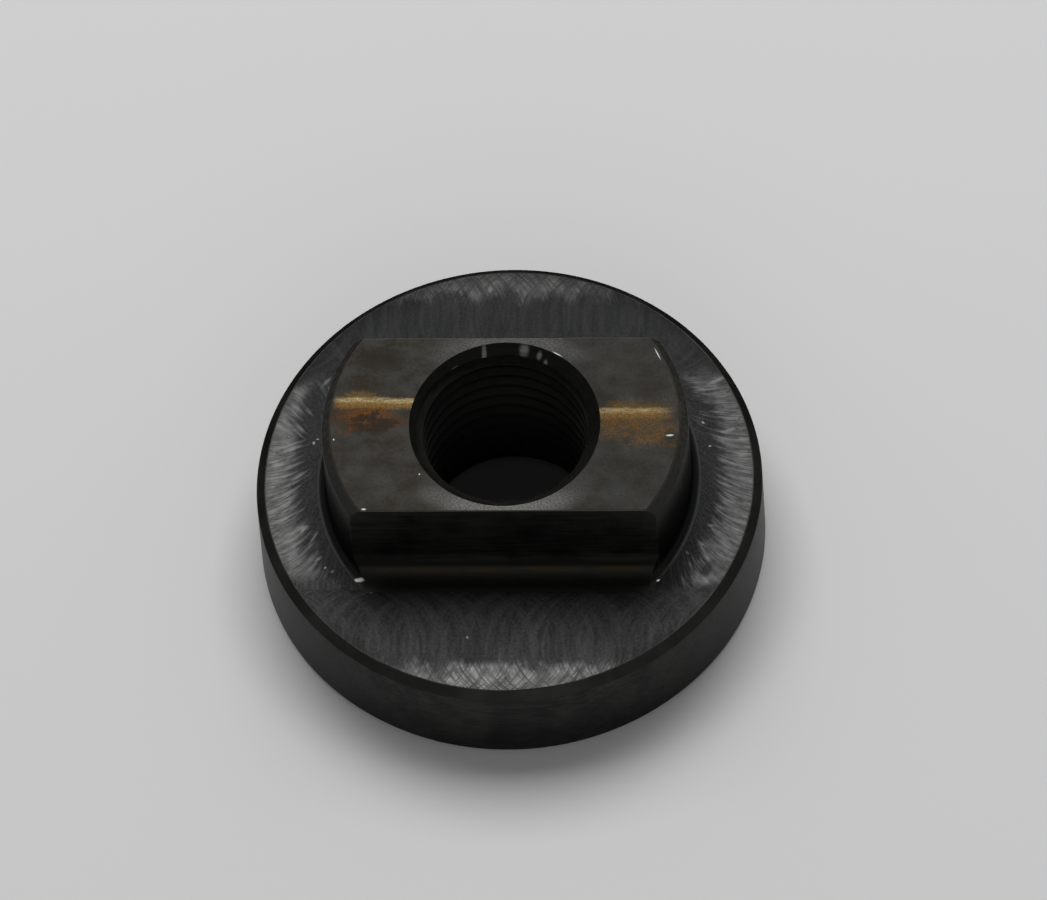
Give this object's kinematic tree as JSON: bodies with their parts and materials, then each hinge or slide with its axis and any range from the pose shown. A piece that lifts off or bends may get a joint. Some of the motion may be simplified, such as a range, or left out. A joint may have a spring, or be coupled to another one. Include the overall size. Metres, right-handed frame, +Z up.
{
  "type": "t slot nut",
  "caption": "Round-flanged T-slot nut: a flat-sided boss on a disc flange, with a countersunk threaded hole right through.",
  "frame": {"origin": "middle of the underside of the flange, on the bore's axis", "axes": "+Z up the bore, from the flange to the boss; -Y and +Y out of the two milled flats; X along the slot"},
  "size_m": [0.0348, 0.0348, 0.0147],
  "materials": {
    "black_oxide_steel": "black-oxided steel, as milled, satin with some bare and rust-stained streaks"
  },
  "bodies": {
    "root": {"t_slot_nut": "black_oxide_steel"}
  },
  "joints": []
}
